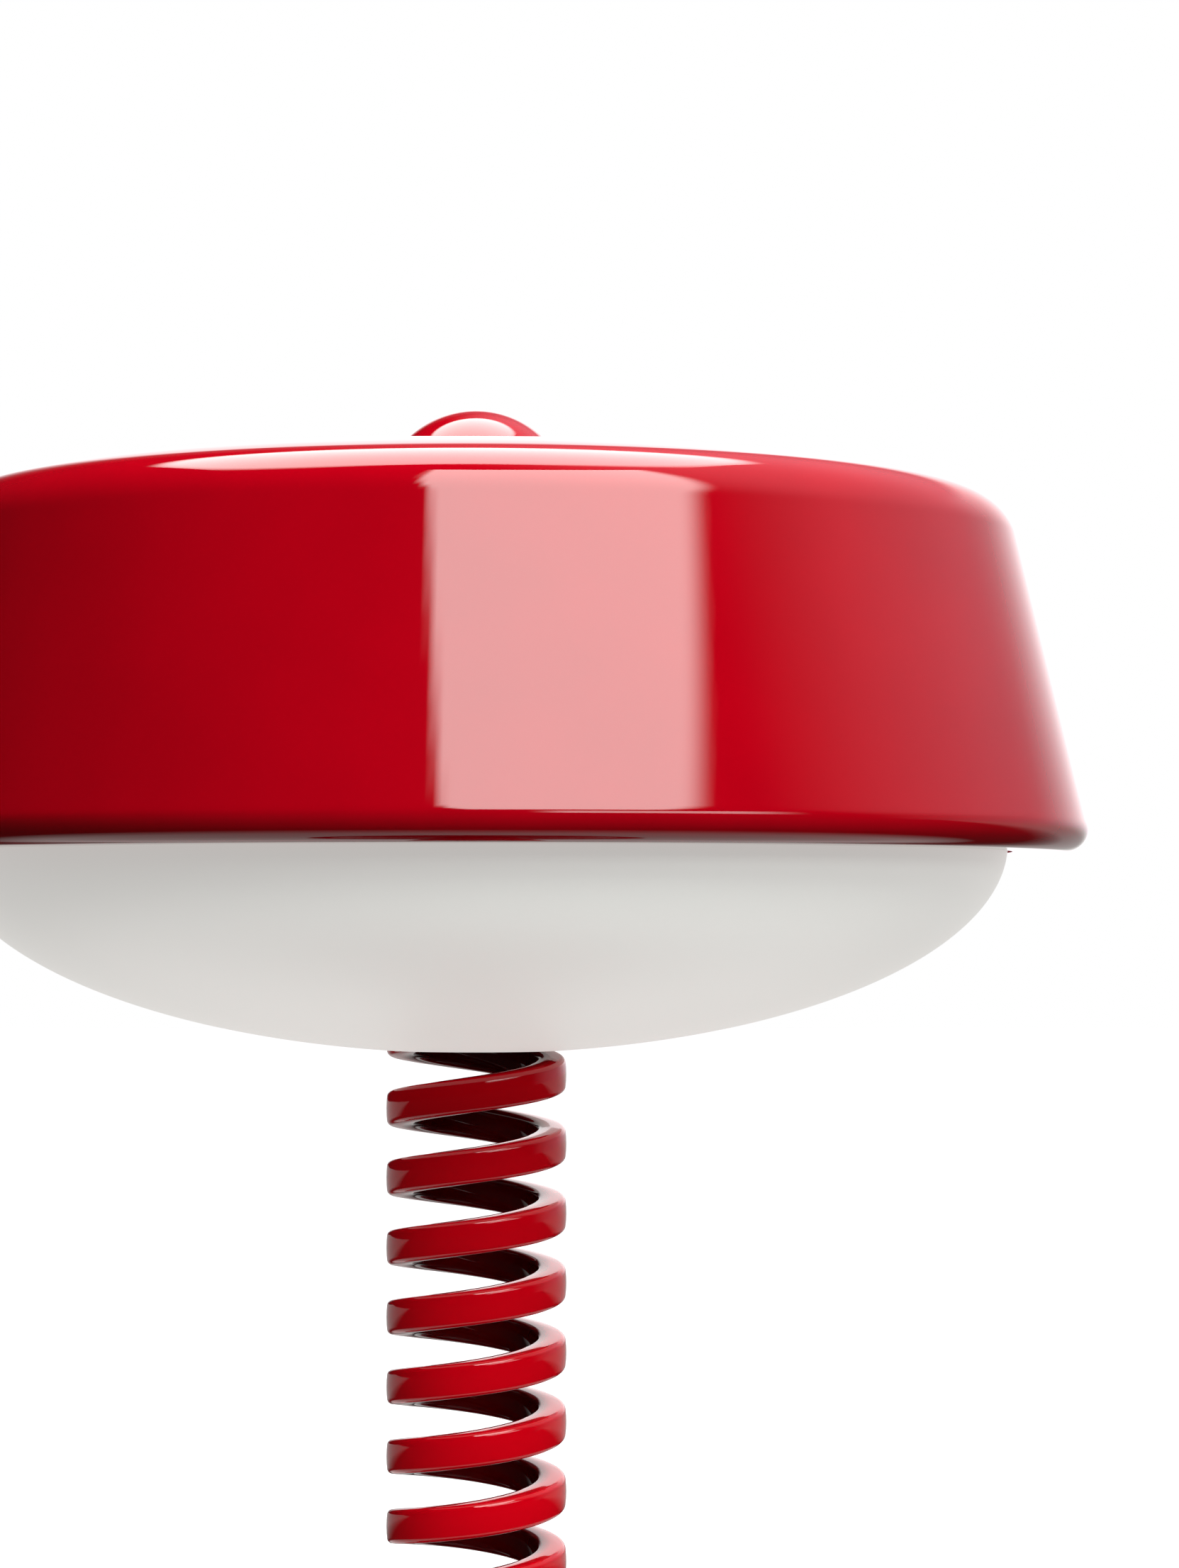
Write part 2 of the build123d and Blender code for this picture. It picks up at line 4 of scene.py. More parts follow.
import bmesh
import bpy
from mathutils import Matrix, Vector


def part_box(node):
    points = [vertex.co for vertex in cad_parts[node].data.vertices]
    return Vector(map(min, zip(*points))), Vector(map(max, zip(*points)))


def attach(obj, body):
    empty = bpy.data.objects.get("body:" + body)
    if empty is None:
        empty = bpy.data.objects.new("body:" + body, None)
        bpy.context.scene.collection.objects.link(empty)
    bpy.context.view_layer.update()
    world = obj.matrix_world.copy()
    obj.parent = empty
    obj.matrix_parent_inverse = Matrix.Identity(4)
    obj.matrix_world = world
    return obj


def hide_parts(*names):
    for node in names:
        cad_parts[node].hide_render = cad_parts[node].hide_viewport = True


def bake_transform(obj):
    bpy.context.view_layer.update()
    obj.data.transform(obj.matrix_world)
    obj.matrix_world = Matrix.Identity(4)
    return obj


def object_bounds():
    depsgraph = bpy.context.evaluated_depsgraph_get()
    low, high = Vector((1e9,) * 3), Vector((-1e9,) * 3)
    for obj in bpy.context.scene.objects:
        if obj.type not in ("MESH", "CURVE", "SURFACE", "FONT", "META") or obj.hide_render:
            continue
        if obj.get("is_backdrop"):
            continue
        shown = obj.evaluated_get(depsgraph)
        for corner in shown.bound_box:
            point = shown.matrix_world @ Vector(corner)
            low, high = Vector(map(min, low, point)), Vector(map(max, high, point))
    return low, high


# A cordless table lamp on a coil-spring stem. The shade, the opal bowl, the knob, the base
# and the spring are remade here as fine meshes. The other CAD nodes keep their shapes.

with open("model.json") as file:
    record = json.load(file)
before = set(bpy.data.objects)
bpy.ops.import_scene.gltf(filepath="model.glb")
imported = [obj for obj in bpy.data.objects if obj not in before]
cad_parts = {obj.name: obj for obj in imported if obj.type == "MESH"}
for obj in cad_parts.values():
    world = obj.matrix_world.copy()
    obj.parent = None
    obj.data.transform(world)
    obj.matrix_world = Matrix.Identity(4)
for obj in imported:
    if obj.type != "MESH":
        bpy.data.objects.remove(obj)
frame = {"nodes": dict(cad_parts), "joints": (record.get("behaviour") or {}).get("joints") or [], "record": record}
cad_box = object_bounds()
pivots = {joint["name"]: Vector(joint["pos_m"]) for joint in frame["joints"] if "pos_m" in joint}

mm = 0.001

# --- sizes, the same as the CAD model's --------------------------------------
wall_tilt = 13.7  # lean of the walls from upright, in degrees
brow_tilt = 15.0  # slope where a shell's shoulder gives way to its wider brow
shade = dict(lip=4.2 * mm, shoulder=10.5 * mm, brow=108.0 * mm, crown=1.7, mouth=94.8 * mm, hole=3.7 * mm)
shade_sheet = 1.5 * mm
foot = dict(lip=3.0 * mm, shoulder=9.0 * mm, brow=30.0 * mm, crown=0.3, mouth=68.0 * mm, hole=16.6 * mm)
foot_sheet = 2.0 * mm

port_width = 12.4 * mm
port_thickness = 6.6 * mm

diffuser_wall = 2.5 * mm
diffuser_skirt = 10.0 * mm
diffuser_hole = 16.6 * mm
groove_depth = 0.7 * mm
groove_drop = 2.5 * mm  # top of the clips' groove below the skirt's top
groove_height = 2.0 * mm

knob_dome = 17.5 * mm
knob_pocket = 7.2 * mm
knob_pocket_depth = 3.2 * mm
knob_fillet = 0.7 * mm
knob_screw_hole = 1.35 * mm

wire_width = 5.4 * mm
wire_height = 6.3 * mm
wire_corner = 1.0 * mm
wire_crown = 0.12 * mm  # swell of the wire's four faces
coil_pitch = 12.37 * mm
front_coil = 184.5 * mm  # wire's centre at the front, on the turn nearest the diffuser

sleeve_band = (-26.0 * mm, -25.8 * mm)  # edge of the coloured band on the battery cells, along Y

segments = 256  # round every turned piece
coil_steps = 72  # round each turn of the spring
corner_steps = 6  # round each corner of its wire
sharp_edge = 35.0  # an edge that turns by more degrees isn't smoothed


# --- outlines: (radius, height) points ---------------------------------------
def arc(centre, radius, start, end, steps, rise=None):
    """Points along an arc, or an ellipse with that rise. 0 degrees is outward and 90 is up."""
    rise = radius if rise is None else rise
    points = []
    for k in range(steps + 1):
        angle = radians(start + (end - start) * k / steps)
        points.append((centre[0] + radius * cos(angle), centre[1] + rise * sin(angle)))
    return points


def straight(start, end, steps=16):
    """Points along a line, closest together at its ends, so that it shades as straight."""
    points = []
    for k in range(1, steps):
        t = (1 - cos(pi * k / steps)) / 2
        points.append((start[0] + t * (end[0] - start[0]), start[1] + t * (end[1] - start[1])))
    return points


def spun_outline(inset, bottom, height, widest, lip, shoulder, brow, crown, mouth, hole, fine=1.0):
    """Half section of a spun shell, from its mouth round the lip and up to the hole in its top."""
    wall = radians(wall_tilt)
    lean = radians(brow_tilt)
    run = (height - lip - shoulder) * tan(wall) + (shoulder - lip) / cos(wall)
    lip_centre = (widest - lip, bottom + lip)
    shoulder_centre = (lip_centre[0] - run, bottom + height - shoulder)
    above = brow - shoulder
    brow_centre = (shoulder_centre[0] - above * sin(lean), shoulder_centre[1] - above * cos(lean))
    crown_radius = brow + brow_centre[0] / sin(radians(crown))
    crown_centre = (0, brow_centre[1] - (crown_radius - brow) * cos(radians(crown)))
    turn_in = degrees(asin(hole / (crown_radius - inset)))
    flange = (mouth, bottom + inset)
    lip_arc = arc(lip_centre, lip - inset, -90, wall_tilt, int(20 * fine))
    shoulder_arc = arc(shoulder_centre, shoulder - inset, wall_tilt, 90 - brow_tilt, int(32 * fine))
    brow_arc = arc(brow_centre, brow - inset, 90 - brow_tilt, 90 - crown, int(16 * fine))
    crown_arc = arc(crown_centre, crown_radius - inset, 90 - crown, 90 - turn_in, int(16 * fine))
    points = [flange] + straight(flange, lip_arc[0], 6) + lip_arc
    points += straight(lip_arc[-1], shoulder_arc[0]) + shoulder_arc
    return points + brow_arc[1:] + crown_arc[1:]


# --- meshes ------------------------------------------------------------------
def to_piece(name, mesh_code):
    """Object from a bmesh, smooth apart from its sharp edges."""
    bmesh.ops.recalc_face_normals(mesh_code, faces=mesh_code.faces)
    mesh = bpy.data.meshes.new(name)
    mesh_code.to_mesh(mesh)
    mesh_code.free()
    piece = bpy.data.objects.new(name, mesh)
    bpy.context.scene.collection.objects.link(piece)
    soften(piece)
    return piece


def soften(piece):
    """Smooth shading apart from the sharp edges."""
    piece.data.polygons.foreach_set("use_smooth", [True] * len(piece.data.polygons))
    piece.data.set_sharp_from_angle(angle=radians(sharp_edge))


def lathe(name, outline):
    """Mesh of revolution about the lamp's axis from a closed outline."""
    turned = bmesh.new()
    rings = []
    for k in range(segments):
        angle = 2 * pi * k / segments
        ring = [turned.verts.new((r * cos(angle), r * sin(angle), z)) for r, z in outline]
        rings.append(ring)
    count = len(outline)
    for k in range(segments):
        ring, beside = rings[k], rings[(k + 1) % segments]
        for i in range(count):
            j = (i + 1) % count
            turned.faces.new((ring[i], beside[i], beside[j], ring[j]))
    bmesh.ops.remove_doubles(turned, verts=turned.verts, dist=1e-6)
    return to_piece(name, turned)


def prism(outline, start, end):
    """Closed prism along +Y from (x, z) points."""
    solid = bmesh.new()
    near = [solid.verts.new((x, start, z)) for x, z in outline]
    far = [solid.verts.new((x, end, z)) for x, z in outline]
    solid.faces.new(near)
    solid.faces.new(far)
    for i in range(len(outline)):
        j = (i + 1) % len(outline)
        solid.faces.new((near[i], near[j], far[j], far[i]))
    return to_piece("cutter", solid)


def cut(piece, cutter):
    """Takes the cutter's shape out of a piece."""
    boolean = piece.modifiers.new("cut", "BOOLEAN")
    boolean.operation = "DIFFERENCE"
    boolean.solver = "EXACT"
    boolean.object = cutter
    graph = bpy.context.evaluated_depsgraph_get()
    result = bpy.data.meshes.new_from_object(piece.evaluated_get(graph))
    piece.modifiers.clear()
    piece.data = result
    bpy.data.objects.remove(cutter)
    soften(piece)


# --- materials ---------------------------------------------------------------
class Finish:
    """One procedural material: a Principled shader and the nodes that feed it."""

    def __init__(self, name, **sockets):
        self.material = bpy.data.materials.new(name)
        self.material.use_nodes = True
        self.tree = self.material.node_tree
        self.shader = self.tree.nodes["Principled BSDF"]
        self.place = self.add("TexCoord").outputs["Object"]
        for socket, value in sockets.items():
            self.shader.inputs[socket.replace("_", " ")].default_value = value

    def add(self, kind, links=(), **settings):
        """New node with settings on it and links or values on its inputs."""
        made = self.tree.nodes.new("ShaderNode" + kind)
        for key, value in settings.items():
            setattr(made, key, value)
        for socket, value in dict(links).items():
            if isinstance(value, bpy.types.NodeSocket):
                self.tree.links.new(value, made.inputs[socket])
            else:
                made.inputs[socket].default_value = value
        return made

    def stretch(self, scale):
        """The surface's place, scaled differently along x, y and z."""
        return self.add("Mapping", {"Vector": self.place, "Scale": scale}).outputs[0]

    def noise(self, scale, detail=3.0, place=None):
        """Soft noise from 0 to 1. Scale is in features per metre."""
        links = {"Vector": place or self.place, "Scale": scale, "Detail": detail}
        return self.add("TexNoise", links).outputs["Fac"]

    def ramp(self, value, low, high, start=0.3, end=0.7):
        """Colour that goes from low to high as value goes from start to end."""
        ramp = self.add("ValToRGB", {"Fac": value})
        for stop, colour, at in zip(ramp.color_ramp.elements, (low, high), (start, end)):
            stop.color = (*colour, 1)
            stop.position = at
        return ramp.outputs["Color"]

    def spread(self, value, low, high, start=0.3, end=0.7):
        """Number that goes from low to high as value goes from start to end."""
        links = {"Value": value, "From Min": start, "From Max": end, "To Min": low, "To Max": high}
        return self.add("MapRange", links).outputs["Result"]

    def feed(self, socket, value):
        self.tree.links.new(value, self.shader.inputs[socket])

    def surface(self, shader):
        """Puts another shader on the surface in place of the Principled one."""
        self.tree.links.new(shader.outputs[0], self.tree.nodes["Material Output"].inputs["Surface"])

    def bump(self, height, depth):
        """Relief of that depth in metres."""
        bump = self.add("Bump", {"Height": height, "Distance": depth, "Strength": 1.0})
        self.feed("Normal", bump.outputs["Normal"])


def tint(colour, factor):
    return tuple(min(1.0, part * factor) for part in colour)


def lacquer(name, colour, shine, peel, painted_shade_inside=False):
    """Deep gloss lacquer: slight clouding of the colour, fine polish marks and orange peel.
    On a coil, the wire can be painted darker on its side that faces the axis: painted shade, where the coils hide
    that side from the light."""
    finish = Finish(name, Coat_Weight=1.0, Coat_Roughness=shine, Coat_IOR=1.5)
    finish.shader.inputs["Specular IOR Level"].default_value = 0.0
    clouds = finish.noise(45, 2)
    coat = finish.ramp(clouds, tint(colour, 0.96), tint(colour, 1.04))
    if painted_shade_inside:
        # painted shade: darker towards the side of the wire that faces the axis
        depth = finish.add("Attribute", attribute_name="inside").outputs["Fac"]
        inside_shade = finish.ramp(depth, (1, 1, 1), (0.16, 0.16, 0.16), 0.5, 0.95)
        coat = finish.add("VectorMath", {0: coat, 1: inside_shade}, operation="MULTIPLY").outputs["Vector"]
    finish.feed("Base Color", coat)
    marks = finish.noise(900, 4, finish.stretch((1, 1, 0.12)))
    finish.feed("Roughness", finish.spread(marks, 0.32, 0.42))
    finish.bump(finish.noise(420, 1), peel)
    return finish.material


def opal(name, colour):
    """Satin opal acrylic: faint clouding in the plastic and a fine etched skin. Its faint even glow is painted
    light, standing in for light scattered through the bowl.
    """
    # painted light: a faint glow all over the bowl
    finish = Finish(name, IOR=1.49, Emission_Color=(1.0, 0.985, 0.95, 1), Emission_Strength=0.47)
    clouds = finish.noise(30, 3)
    finish.feed("Base Color", finish.ramp(clouds, tint(colour, 0.985), tint(colour, 1.01)))
    skin = finish.noise(2600, 2)
    finish.feed("Roughness", finish.spread(skin, 0.42, 0.52))
    finish.bump(skin, 0.004 * mm)
    return finish.material


def moulded(name, colour, rough=0.45, grain=1500, depth=0.01 * mm):
    """Moulded plastic with a fine spark-eroded grain."""
    finish = Finish(name, IOR=1.5)
    clouds = finish.noise(80, 2)
    finish.feed("Base Color", finish.ramp(clouds, tint(colour, 0.9), tint(colour, 1.08)))
    skin = finish.noise(grain, 3)
    finish.feed("Roughness", finish.spread(skin, rough - 0.08, rough + 0.08))
    finish.bump(skin, depth)
    return finish.material


def metal(name, colour, rough, brushed=(1, 1, 1), scale=600):
    """Bare metal with brush or tool marks along the axes where brushed is small."""
    finish = Finish(name, Metallic=1.0)
    clouds = finish.noise(60, 3)
    finish.feed("Base Color", finish.ramp(clouds, tint(colour, 0.88), tint(colour, 1.06)))
    marks = finish.noise(scale, 5, finish.stretch(brushed))
    finish.feed("Roughness", finish.spread(marks, rough - 0.1, rough + 0.12))
    finish.bump(marks, 0.006 * mm)
    return finish.material


def circuit(name, mask, copper):
    """Printed board: solder mask with raised tracks under it."""
    finish = Finish(name, IOR=1.5)
    place = finish.stretch((1, 1, 0))
    links = {"Vector": place, "Scale": 160, "Randomness": 0.55}
    cells = finish.add("TexVoronoi", links, feature="DISTANCE_TO_EDGE")
    tracks = cells.outputs["Distance"]
    narrow, wide = 0.05, 0.09
    finish.feed("Base Color", finish.ramp(tracks, copper, mask, narrow, wide))
    finish.feed("Roughness", finish.spread(finish.noise(700, 2), 0.25, 0.36))
    finish.bump(finish.spread(tracks, 1, 0, narrow, wide), 0.035 * mm)
    return finish.material


def cell_sleeve(name, colour, band):
    """Shrink-wrapped sleeve with a band round the positive end."""
    finish = Finish(name, IOR=1.5)
    along = finish.add("SeparateXYZ", {"Vector": finish.place}).outputs["Y"]
    ends = finish.spread(along, 1.0, 0.0, *sleeve_band)
    finish.feed("Base Color", finish.ramp(ends, colour, band, 0.4, 0.6))
    finish.feed("Roughness", finish.spread(finish.noise(300, 2), 0.22, 0.34))
    finish.bump(finish.noise(260, 2, finish.stretch((1, 0.2, 1))), 0.02 * mm)
    return finish.material


def phosphor(name):
    """Clear resin over a yellow phosphor patch, in a pale package."""
    finish = Finish(name, Coat_Weight=1.0, Coat_Roughness=0.05)
    grains = finish.noise(3500, 3)
    finish.feed("Base Color", finish.ramp(grains, (0.82, 0.6, 0.12), (0.95, 0.82, 0.34)))
    finish.bump(grains, 0.01 * mm)
    return finish.material


red = (0.26, 0.0, 0.004)
materials = {
    "red_lacquer": lacquer("red_lacquer", red, 0.03, 0.0015 * mm),
    "red_coil": lacquer("red_coil", (0.56, 0.0, 0.006), 0.04, 0.003 * mm, painted_shade_inside=True),
    "red_knob": lacquer("red_knob", red, 0.03, 0.0015 * mm),
    "opal": opal("opal", (0.52, 0.54, 0.52)),
    "white_reflector": moulded("white_reflector", (0.86, 0.86, 0.85), 0.6),
    "white_board": circuit("white_board", (0.85, 0.85, 0.83), (0.8, 0.8, 0.77)),
    "green_board": circuit("green_board", (0.01, 0.14, 0.05), (0.03, 0.26, 0.1)),
    "phosphor": phosphor("phosphor"),
    "chassis_alu": metal("chassis_alu", (0.74, 0.75, 0.76), 0.36, (0.04, 1, 1)),
    "plain_steel": metal("plain_steel", (0.6, 0.6, 0.6), 0.34),
    "spring_steel": metal("spring_steel", (0.52, 0.52, 0.54), 0.26, (1, 1, 0.1)),
    "can_alu": metal("can_alu", (0.76, 0.77, 0.78), 0.3, (1, 1, 0.05)),
    "cell_wrap": cell_sleeve("cell_wrap", (0.03, 0.16, 0.36), (0.75, 0.75, 0.73)),
    "black_plastic": moulded("black_plastic", (0.018, 0.018, 0.02)),
    "chip_black": moulded("chip_black", (0.015, 0.015, 0.016), 0.55, 3200),
    "ferrite": moulded("ferrite", (0.055, 0.053, 0.05), 0.6, 2400, 0.03 * mm),
    "lead_sleeve": moulded("lead_sleeve", (0.5, 0.02, 0.02), 0.38, 500),
    "lead_sleeve_white": moulded("lead_sleeve_white", (0.78, 0.77, 0.74), 0.4, 500),
    "connector": moulded("connector", (0.8, 0.77, 0.68), 0.42),
    "cast_weight": metal("cast_weight", (0.3, 0.3, 0.31), 0.6, (1, 1, 1), 350),
    "plate_steel": metal("plate_steel", (0.5, 0.51, 0.52), 0.42, (0.05, 1, 1)),
    "pad_rubber": moulded("pad_rubber", (0.025, 0.025, 0.026), 0.8, 1800, 0.04 * mm),
}


def dress(piece, slot):
    """Gives a new piece the finish of one of the record's material slots."""
    piece.data.materials.clear()
    piece.data.materials.append(materials[slot])


for subpart in frame["record"]["subparts"]:
    for own in frame["nodes"][subpart["node"]].material_slots:
        own.material = materials[subpart["material_slot"]]


# --- shade, base, bowl and knob ----------------------------------------------
def spun_shell(name, node, sheet, sizes):
    """Fine mesh of a spun sheet-metal shell that has the CAD node's size."""
    low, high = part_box(node)
    # the box gives the height of the crown at the hole, and the outline wants the shoulder's
    height = high.z - low.z
    for _ in range(8):
        outline = spun_outline(0, low.z, height, high.x, **sizes)
        height += high.z - outline[-1][1]
    outer = spun_outline(0, low.z, height, high.x, **sizes)
    inner = spun_outline(sheet, low.z, height, high.x, fine=0.5, **sizes)
    return lathe(name, outer + inner[::-1])


def make_shade():
    piece = spun_shell("shade", "shade_shell", shade_sheet, shade)
    bezel_low, bezel_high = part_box("port_bezel")
    middle = (bezel_low.z + bezel_high.z) / 2
    half = (port_width - port_thickness) / 2
    end = port_thickness / 2
    slot = arc((half, middle), end, -90, 90, 16) + arc((-half, middle), end, 90, 270, 16)
    cut(piece, prism(slot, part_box("usb_socket")[0].y, 2 * bezel_high.y))
    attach(piece, "head")
    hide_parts("shade_shell")
    dress(piece, "red_lacquer")


def make_foot():
    piece = spun_shell("base", "base_shell", foot_sheet, foot)
    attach(piece, "base")
    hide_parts("base_shell")
    dress(piece, "red_lacquer")


def make_bowl():
    """Half a flattened ellipsoid under an upright skirt, with the stem's hole."""
    low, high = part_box("diffuser")
    radius = high.x
    middle = (0, high.z - diffuser_skirt)
    inner_radius = radius - diffuser_wall
    outer_end = degrees(acos(diffuser_hole / radius))
    inner_end = degrees(acos(diffuser_hole / inner_radius))
    # the hole cuts the ellipse a little above its lowest point
    depth = (middle[1] - low.z) / sin(radians(outer_end))
    outer = arc(middle, radius, -outer_end, 0, 72, depth)
    inner = arc(middle, inner_radius, 0, -inner_end, 36, depth - diffuser_wall)
    groove_top = high.z - groove_drop
    groove_low = groove_top - groove_height
    skirt = [(radius, groove_low), (radius - groove_depth, groove_low)]
    skirt += [(radius - groove_depth, groove_top), (radius, groove_top)]
    skirt += [(radius, high.z), (inner_radius, high.z)]
    piece = lathe("diffuser_bowl", outer + skirt + inner)
    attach(piece, "head")
    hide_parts("diffuser")
    dress(piece, "opal")


def make_knob():
    """Domed knob with its pocket underneath and the set screw's hole at the back."""
    low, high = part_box("knob")
    centre = (0, high.z - knob_dome)
    drop = centre[1] - low.z
    reach = degrees(asin((drop - knob_fillet) / (knob_dome - knob_fillet)))
    fillet_centre = ((knob_dome - knob_fillet) * cos(radians(reach)), low.z + knob_fillet)
    outline = arc(fillet_centre, knob_fillet, -90, -reach, 8) + arc(centre, knob_dome, -reach, 90, 64)[1:]
    outline += [(0, low.z + knob_pocket_depth), (knob_pocket, low.z + knob_pocket_depth)]
    outline += [(knob_pocket, low.z)]
    piece = lathe("knob_dome", outline)
    screw_low, screw_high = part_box("knob_screw")
    height = (screw_low.z + screw_high.z) / 2
    hole = arc((0, height), knob_screw_hole, 0, 360, 40)[:-1]
    cut(piece, prism(hole, screw_low.y, knob_dome * 1.5))
    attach(piece, "knob")
    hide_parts("knob")
    dress(piece, "red_knob")


# --- stem --------------------------------------------------------------------
def wire_section():
    """(out, up) points round the wire: a rounded rectangle whose faces swell a little."""
    half_width = wire_width / 2 - wire_crown
    half_height = wire_height / 2 - wire_crown
    points = []
    for start, side, top in ((0, 1, 1), (90, -1, 1), (180, -1, -1), (270, 1, -1)):
        centre = (side * (half_width - wire_corner), top * (half_height - wire_corner))
        points += arc(centre, wire_corner, start, start + 90, corner_steps)
    swollen = []
    for i, (x, y) in enumerate(points):
        swollen.append((x, y))
        if i % (corner_steps + 1) == corner_steps:
            nx, ny = points[(i + 1) % len(points)]
            for t in (0.2, 0.5, 0.8):
                bulge = wire_crown * 4 * t * (1 - t)
                middle = Vector((x + t * (nx - x), y + t * (ny - y)))
                out = Vector((ny - y, x - nx)).normalized()
                swollen.append(tuple(middle + bulge * out))
    return swollen


def coil(name, low, high, cut_plane):
    """Stretch of the spring from height low to height high along its helix, then cut off level. The
    attribute called inside goes from 0 on the outside of the wire to 1 on the side that faces the axis."""
    section = wire_section()
    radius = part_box("stem_spring")[1].x - wire_width / 2
    first = int((low - front_coil) / coil_pitch * coil_steps)
    last = int((high - front_coil) / coil_pitch * coil_steps)
    swept = bmesh.new()
    inside = swept.verts.layers.float.new("inside")
    rings = []
    for step in range(first, last + 1):
        angle = -pi / 2 + 2 * pi * step / coil_steps
        out = Vector((cos(angle), sin(angle), 0))
        along = Vector((-sin(angle), cos(angle), coil_pitch / (2 * pi * radius))).normalized()
        up = out.cross(along)
        centre = radius * out + Vector((0, 0, front_coil + coil_pitch * step / coil_steps))
        rings.append([swept.verts.new(centre + u * out + v * up) for u, v in section])
        for vert, (u, v) in zip(rings[-1], section):
            vert[inside] = 0.5 - u / wire_width
    count = len(section)
    for ring, beside in zip(rings, rings[1:]):
        for i in range(count):
            j = (i + 1) % count
            swept.faces.new((ring[i], ring[j], beside[j], beside[i]))
    swept.faces.new(rings[0][::-1])
    swept.faces.new(rings[-1])
    everything = swept.verts[:] + swept.edges[:] + swept.faces[:]
    result = bmesh.ops.bisect_plane(
        swept, geom=everything, plane_co=(0, 0, cut_plane[0]), plane_no=(0, 0, cut_plane[1]),
        clear_outer=True,
    )
    rim = [e for e in result["geom_cut"] if isinstance(e, bmesh.types.BMEdge)]
    bmesh.ops.edgeloop_fill(swept, edges=rim)
    return to_piece(name, swept)


def make_stem():
    """Two half springs that share the ring where they meet, halfway between the two sway joints."""
    low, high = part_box("stem_spring")
    side = pivots["stem_sway_side"]
    fore = pivots["stem_sway_fore"]
    middle = (side.z + fore.z) / 2
    lower = coil("coil_lower", low.z - coil_pitch, middle, (low.z, -1))
    upper = coil("coil_upper", middle, high.z + coil_pitch, (high.z, 1))
    for piece, pivot, below, above in ((lower, side, "base", "stem"), (upper, fore, "stem", "head")):
        dress(piece, "red_coil")
        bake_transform(piece)
        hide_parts("stem_spring")


make_shade()
make_foot()
make_bowl()
make_knob()
make_stem()


# --- studio ------------------------------------------------------------------
head = Vector((0, 0, 0.27))
dark = 0.01  # the studio's surroundings where nothing glows
table_dark = 0.02  # and the table's

# distances in metres: where the camera sees the floor turn white, and where the table that the
# lamp reflects ends (measured from a little behind the lamp) and starts again behind it
floor_whitens = (0.3, 0.72)
table_centre = (0, 0.1, 0)
table_ends = (0.22, 0.31)
table_resumes = (0.4, 0.8)

# each panel's strength, and where it reaches: degrees round the head and up, or metres from it
key_strength, key_across, key_up, key_distance = 10.0, (-14, 62), (17, 63), 1.0
fill_strength, fill_across, fill_up, fill_distance = 5.5, (10, 62), (5, 15), 1.2
back_strength, back_across, back_up, back_distance = 1.5, (120, 240), (-8, 32), 1.5
overhead_strength, overhead_x, overhead_y, overhead_height = 8.5, (-0.62, 0.48), (-0.27, 0.7), 1.0

camera_place = (0.0201, -0.756, 0.22768)
camera_lens = 97.65
camera_shift = 0.0854


def staging(name, corners, faces):
    """Object that is part of the studio and not of the lamp."""
    mesh = bpy.data.meshes.new(name)
    mesh.from_pydata(corners, [], faces)
    made = bpy.data.objects.new(name, mesh)
    bpy.context.scene.collection.objects.link(made)
    made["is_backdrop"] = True
    return made


def between(ends, part):
    return ends[0] + (ends[1] - ends[0]) * part


def smooth(value, start, end):
    """0 to 1 as value goes from start to end, easing in and out."""
    t = min(1.0, max(0.0, (value - start) / (end - start)))
    return t * t * (3 - 2 * t)


def panel(name, place, glow, cells=48):
    """Lit patch that hides nothing. Its points are place(across, up), its strength glow(across, up)."""
    steps = [k / cells for k in range(cells + 1)]
    places, strengths = [], []
    for up in steps:
        for across in steps:
            places.append(place(across, up))
            strengths.append(glow(across, up))
    faces = []
    for row in range(cells):
        for i in range(cells):
            first = row * (cells + 1) + i
            faces.append((first, first + 1, first + cells + 2, first + cells + 1))
    lit = staging(name, places, faces)
    lit.data.attributes.new("glow", "FLOAT", "POINT").data.foreach_set("value", strengths)
    lit.visible_camera = False
    finish = Finish(name)
    strength = finish.add("Attribute", attribute_name="glow").outputs["Fac"]
    light = finish.add("Emission", {"Strength": strength, "Color": (0.95, 0.97, 0.95, 1)})
    clear = finish.add("BsdfTransparent")
    both = finish.add("AddShader", {0: light.outputs[0], 1: clear.outputs[0]})
    finish.surface(both)
    lit.data.materials.append(finish.material)


def toward(azimuth, elevation, distance):
    """Point in that direction from the head. Azimuth 0 is the front and 90 is +X."""
    flat = distance * cos(radians(elevation))
    x = flat * sin(radians(azimuth))
    y = -flat * cos(radians(azimuth))
    return head + Vector((x, y, distance * sin(radians(elevation))))


